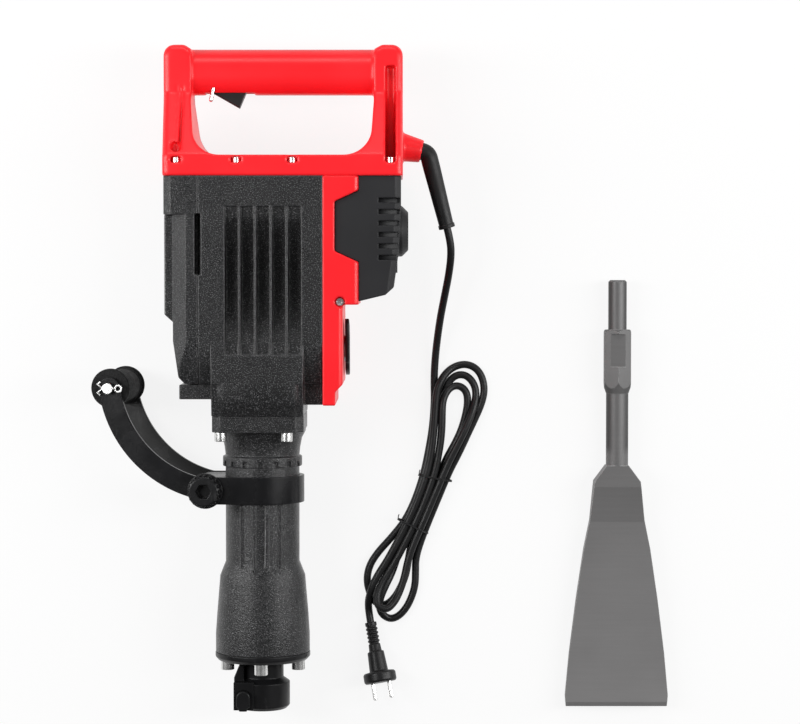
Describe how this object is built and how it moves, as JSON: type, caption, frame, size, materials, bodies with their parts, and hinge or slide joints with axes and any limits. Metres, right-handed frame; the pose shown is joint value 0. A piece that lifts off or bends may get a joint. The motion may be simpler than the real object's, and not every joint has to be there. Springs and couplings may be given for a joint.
{
  "type": "electric jackhammer",
  "caption": "Electric jackhammer: crank-driven hammer train in a cast case, hex tool holder with cross retainer, loop top handle, swivelling side handle, mains lead and a flat chisel.",
  "frame": {"origin": "on the flat back of the gear case, where the barrel axis and the crank axis cross in projection", "axes": "+Y along the barrel axis from the tool holder to the top handle, +X towards the motor and its cord, +Z out of the front of the case; the tool lies on its back"},
  "size_m": [0.6451, 0.7435, 0.14],
  "materials": {
    "black_cast": "satin",
    "black_steel": "satin",
    "black_handle_steel": "satin",
    "red_plastic": "gloss",
    "dark_plastic": "matte",
    "trigger_plastic": "satin",
    "insulation": "matte",
    "bright_screw": "polished",
    "tool_steel": "satin",
    "machined_steel": "satin",
    "laminated_steel": "satin",
    "bearing_steel": "polished",
    "fan_plastic": "matte",
    "commutator_copper": "satin",
    "black_rubber": "matte",
    "grip_foam": "matte",
    "seal_rubber": "satin",
    "cord_black": "satin",
    "window_glass": "polished"
  },
  "bodies": {
    "housing": {"barrel": "black_cast", "barrel_bolts": "bright_screw", "brush_holders": "insulation", "buffer_ring": "seal_rubber", "cord_guard": "black_rubber", "cord_hank": "cord_black", "cord_lead": "cord_black", "cord_tail": "cord_black", "cord_ties": "black_rubber", "cover_screws": "bright_screw", "crank_bearings": "bearing_steel", "cylinder_liner": "machined_steel", "flange_bolts": "bright_screw", "front_flange": "black_steel", "gear_case": "black_cast", "gear_cover": "black_cast", "handle_screws": "bright_screw", "housing_screw": "bright_screw", "layshaft_bearings": "bearing_steel", "motor_bearings": "bearing_steel", "motor_cap": "dark_plastic", "motor_housing": "red_plastic", "oil_window": "window_glass", "plug_body": "cord_black", "plug_pins": "bright_screw", "stator": "laminated_steel", "switch_body": "dark_plastic", "tool_holder": "black_steel", "top_handle": "red_plastic", "trigger_pin": "machined_steel", "window_ring": "bright_screw"},
    "armature": {"armature_shaft": "machined_steel", "armature_core": "laminated_steel", "commutator": "commutator_copper", "cooling_fan": "fan_plastic"},
    "layshaft": {"reduction_gear": "machined_steel"},
    "crank": {"crankshaft": "machined_steel", "crank_gear": "machined_steel"},
    "piston": {"piston": "machined_steel", "piston_seal": "seal_rubber", "wrist_pin": "machined_steel"},
    "rod": {"connecting_rod": "machined_steel", "crank_pin": "machined_steel"},
    "striker": {"striker": "machined_steel"},
    "impact_bolt": {"impact_bolt": "machined_steel"},
    "tool_retainer": {"tool_retainer": "black_steel"},
    "side_handle": {"side_handle_strap": "black_handle_steel", "clamp_saddle": "black_cast", "clamp_nut": "black_steel", "grip_pin": "bright_screw", "cotter_pin": "bright_screw"},
    "clamp_bolt": {"clamp_bolt": "black_steel"},
    "side_grip": {"side_grip": "grip_foam"},
    "trigger": {"trigger": "trigger_plastic"},
    "lock_pin": {"lock_pin": "bright_screw"},
    "chisel": {"flat_chisel": "tool_steel"}
  },
  "joints": [
    {"name": "armature_spin", "type": "hinge", "parent": "housing", "child": "armature", "pos_m": [0, 0.105, 0.07], "axis": [1, 0, 0], "continuous": true},
    {"name": "layshaft_spin", "type": "hinge", "parent": "housing", "child": "layshaft", "pos_m": [0, 0.0592, 0.04995], "axis": [1, 0, 0], "continuous": true},
    {"name": "crank_spin", "type": "hinge", "parent": "housing", "child": "crank", "pos_m": [0, 0, 0.07], "axis": [1, 0, 0], "continuous": true},
    {"name": "piston_slide", "type": "slide", "parent": "housing", "child": "piston", "axis": [0, -1, 0], "range_m": [0, 0.04]},
    {"name": "rod_swing", "type": "hinge", "parent": "piston", "child": "rod", "pos_m": [0, -0.058, 0.07], "axis": [1, 0, 0], "range_deg": [-14.8, 14.8]},
    {"name": "striker_slide", "type": "slide", "parent": "housing", "child": "striker", "axis": [0, -1, 0], "range_m": [-0.034, 0]},
    {"name": "impact_bolt_slide", "type": "slide", "parent": "housing", "child": "impact_bolt", "axis": [0, -1, 0], "range_m": [0, 0.008]},
    {"name": "retainer_turn", "type": "hinge", "parent": "housing", "child": "tool_retainer", "pos_m": [-0.02, -0.404, 0.07], "axis": [0, 0, 1], "range_deg": [0, 180]},
    {"name": "side_handle_swivel", "type": "hinge", "parent": "housing", "child": "side_handle", "pos_m": [0, -0.175, 0.07], "axis": [0, 1, 0], "range_deg": [-120, 160]},
    {"name": "clamp_bolt_turn", "type": "hinge", "parent": "side_handle", "child": "clamp_bolt", "pos_m": [-0.05569, -0.175, 0.06415], "axis": [-0.1045, 0, 0.9945], "continuous": true},
    {"name": "side_grip_spin", "type": "hinge", "parent": "side_handle", "child": "side_grip", "pos_m": [-0.16211, -0.063, 0.05296], "axis": [-0.1045, 0, 0.9945], "continuous": true},
    {"name": "trigger_squeeze", "type": "hinge", "parent": "housing", "child": "trigger", "pos_m": [-0.052, 0.268, 0.07], "axis": [0, 0, 1], "range_deg": [0, 12], "stiffness_Nm_per_rad": 0.8, "springref_deg": -11.46},
    {"name": "lock_pin_push", "type": "slide", "parent": "housing", "child": "lock_pin", "axis": [0.2079, 0.9781, 0], "range_m": [0, 0.004], "stiffness_N_per_m": 600, "springref_m": -0.004},
    {"name": "chisel_lift", "type": "slide", "parent": "housing", "child": "chisel", "axis": [0, 0, 1], "range_m": [0, 0.3]}
  ],
  "couplings": [
    {"joint": "layshaft_spin", "follows": "armature_spin", "ratio": -0.25},
    {"joint": "crank_spin", "follows": "armature_spin", "ratio": 0.097222}
  ]
}
